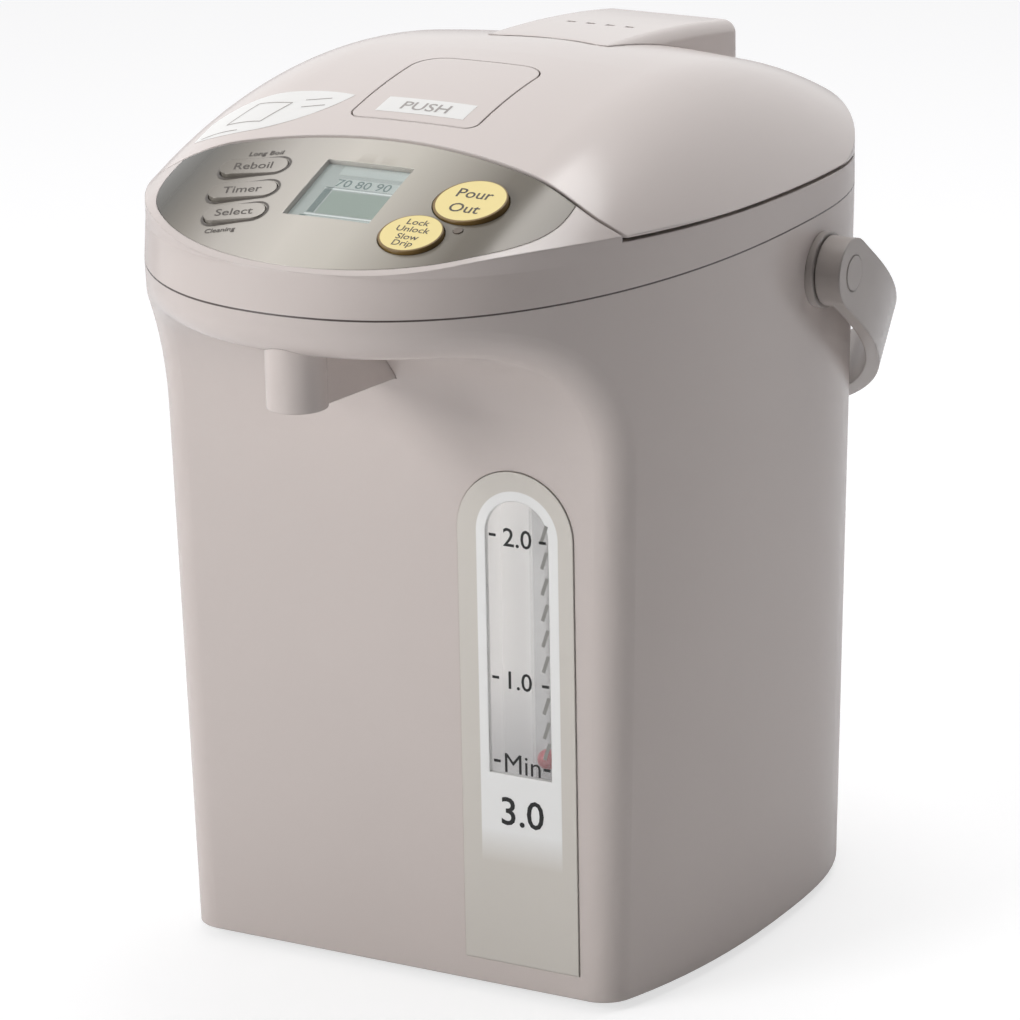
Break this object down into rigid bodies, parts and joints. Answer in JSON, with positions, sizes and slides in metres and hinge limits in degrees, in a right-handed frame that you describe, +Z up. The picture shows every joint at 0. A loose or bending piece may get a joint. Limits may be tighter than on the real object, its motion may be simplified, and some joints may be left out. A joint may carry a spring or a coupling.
{
  "type": "electric thermo pot",
  "caption": "Electric hot water dispenser with a flat front, a control panel over the spout, a water gauge, a domed hinged lid with a push lever and a carrying handle.",
  "frame": {"origin": "bottom centre of the bounding box, on the plane of the feet, with the lid shut and the handle at rest behind the body", "axes": "X to the right seen from the front, the front and spout look to -Y, Z up"},
  "size_m": [0.2324, 0.2987, 0.303],
  "materials": {
    "body_plastic": "glossy moulded",
    "lid_plastic": "glossy moulded",
    "dark_plastic": "fine matt",
    "rubber": "matt",
    "gauge_silver": "satin",
    "clear_window": "clear",
    "white_print": "satin",
    "glass_tube": "clear",
    "red_plastic": "glossy",
    "panel_silver": "satin metallic",
    "button_grey": "satin",
    "button_yellow": "satin",
    "display_green": "satin",
    "lamp_lens": "translucent",
    "board_green": "solder mask",
    "steel": "brushed",
    "sheet_steel": "rolled",
    "cast_aluminium": "cast",
    "silicone": "soft satin",
    "white_plastic": "satin",
    "brass": "plated"
  },
  "bodies": {
    "body": {"body_shell": "body_plastic", "base_cover": "dark_plastic", "foot_front_left": "rubber", "foot_front_right": "rubber", "foot_rear_left": "rubber", "foot_rear_right": "rubber", "upper_frame": "body_plastic", "spout_nozzle": "body_plastic", "gauge_panel": "gauge_silver", "gauge_window": "clear_window", "gauge_backing": "white_print", "gauge_tube": "glass_tube", "control_panel": "panel_silver", "display_window": "clear_window", "display_module": "display_green", "indicator_lamp": "lamp_lens", "switch_board": "board_green", "tact_switches": "dark_plastic", "board_carrier": "dark_plastic", "inner_container": "steel", "container_gasket": "silicone", "heat_shield": "sheet_steel", "heater_band": "steel", "heater_plate": "cast_aluminium", "thermostat": "dark_plastic", "pump_housing": "dark_plastic", "pump_motor": "sheet_steel", "inlet_hose": "silicone", "delivery_hose": "silicone", "outlet_elbow": "white_plastic", "riser_hose": "silicone", "power_board": "board_green", "power_components": "dark_plastic", "board_screws": "steel", "base_screws": "steel", "power_inlet": "dark_plastic", "inlet_pins": "brass", "pivot_left": "dark_plastic", "pivot_right": "dark_plastic"},
    "lid": {"lid_cover": "lid_plastic", "lid_inner_plate": "white_plastic", "lid_gasket": "silicone", "lid_screws": "steel", "steam_vent": "dark_plastic", "hinge_cover": "lid_plastic", "hinge_pin": "steel", "lever_bracket": "white_plastic", "lever_pin": "steel"},
    "lever": {"push_lever": "lid_plastic"},
    "latch": {"latch_bolt": "white_plastic"},
    "handle_bail": {"handle": "body_plastic", "handle_caps": "body_plastic"},
    "cap_top": {"button_top": "button_grey"},
    "cap_middle": {"button_middle": "button_grey"},
    "cap_bottom": {"button_bottom": "button_grey"},
    "cap_pour": {"button_pour": "button_yellow"},
    "cap_lock": {"button_lock": "button_yellow"},
    "float": {"float_ball": "red_plastic"},
    "rotor": {"impeller": "white_plastic"},
    "valve": {"spill_valve": "steel"}
  },
  "joints": [
    {"name": "lid_hinge", "type": "hinge", "parent": "body", "child": "lid", "pos_m": [0, 0.126, 0.282], "axis": [-1, 0, 0], "range_deg": [0, 95]},
    {"name": "lever_tip", "type": "hinge", "parent": "lid", "child": "lever", "pos_m": [0, -0.034, 0.29124], "axis": [1, 0, 0], "range_deg": [0, 9], "stiffness_Nm_per_rad": 0.4, "springref_deg": -2.86},
    {"name": "latch_slide", "type": "slide", "parent": "lid", "child": "latch", "axis": [0, 1, 0], "range_m": [0, 0.005]},
    {"name": "handle_swing", "type": "hinge", "parent": "body", "child": "handle_bail", "pos_m": [0, 0.037, 0.232], "axis": [1, 0, 0], "range_deg": [0, 126]},
    {"name": "press_top", "type": "slide", "parent": "body", "child": "cap_top", "axis": [0, 0.3518, -0.9361], "range_m": [0, 0.0008], "stiffness_N_per_m": 800, "springref_m": -0.0004},
    {"name": "press_middle", "type": "slide", "parent": "body", "child": "cap_middle", "axis": [0, 0.3518, -0.9361], "range_m": [0, 0.0008], "stiffness_N_per_m": 800, "springref_m": -0.0004},
    {"name": "press_bottom", "type": "slide", "parent": "body", "child": "cap_bottom", "axis": [0, 0.3518, -0.9361], "range_m": [0, 0.0008], "stiffness_N_per_m": 800, "springref_m": -0.0004},
    {"name": "press_pour", "type": "slide", "parent": "body", "child": "cap_pour", "axis": [0, 0.3518, -0.9361], "range_m": [0, 0.0008], "stiffness_N_per_m": 800, "springref_m": -0.0004},
    {"name": "press_lock", "type": "slide", "parent": "body", "child": "cap_lock", "axis": [0, 0.3518, -0.9361], "range_m": [0, 0.0008], "stiffness_N_per_m": 800, "springref_m": -0.0004},
    {"name": "float_rise", "type": "slide", "parent": "body", "child": "float", "axis": [0, 0, 1], "range_m": [0, 0.086]},
    {"name": "pump_spin", "type": "hinge", "parent": "body", "child": "rotor", "pos_m": [0, -0.02, 0.036], "axis": [0, 0, 1], "continuous": true},
    {"name": "valve_lift", "type": "slide", "parent": "body", "child": "valve", "axis": [0, 0, 1], "range_m": [0, 0.0012]}
  ],
  "couplings": [
    {"joint": "latch_slide", "follows": "lever_tip", "m_per_rad": 0.0318}
  ]
}
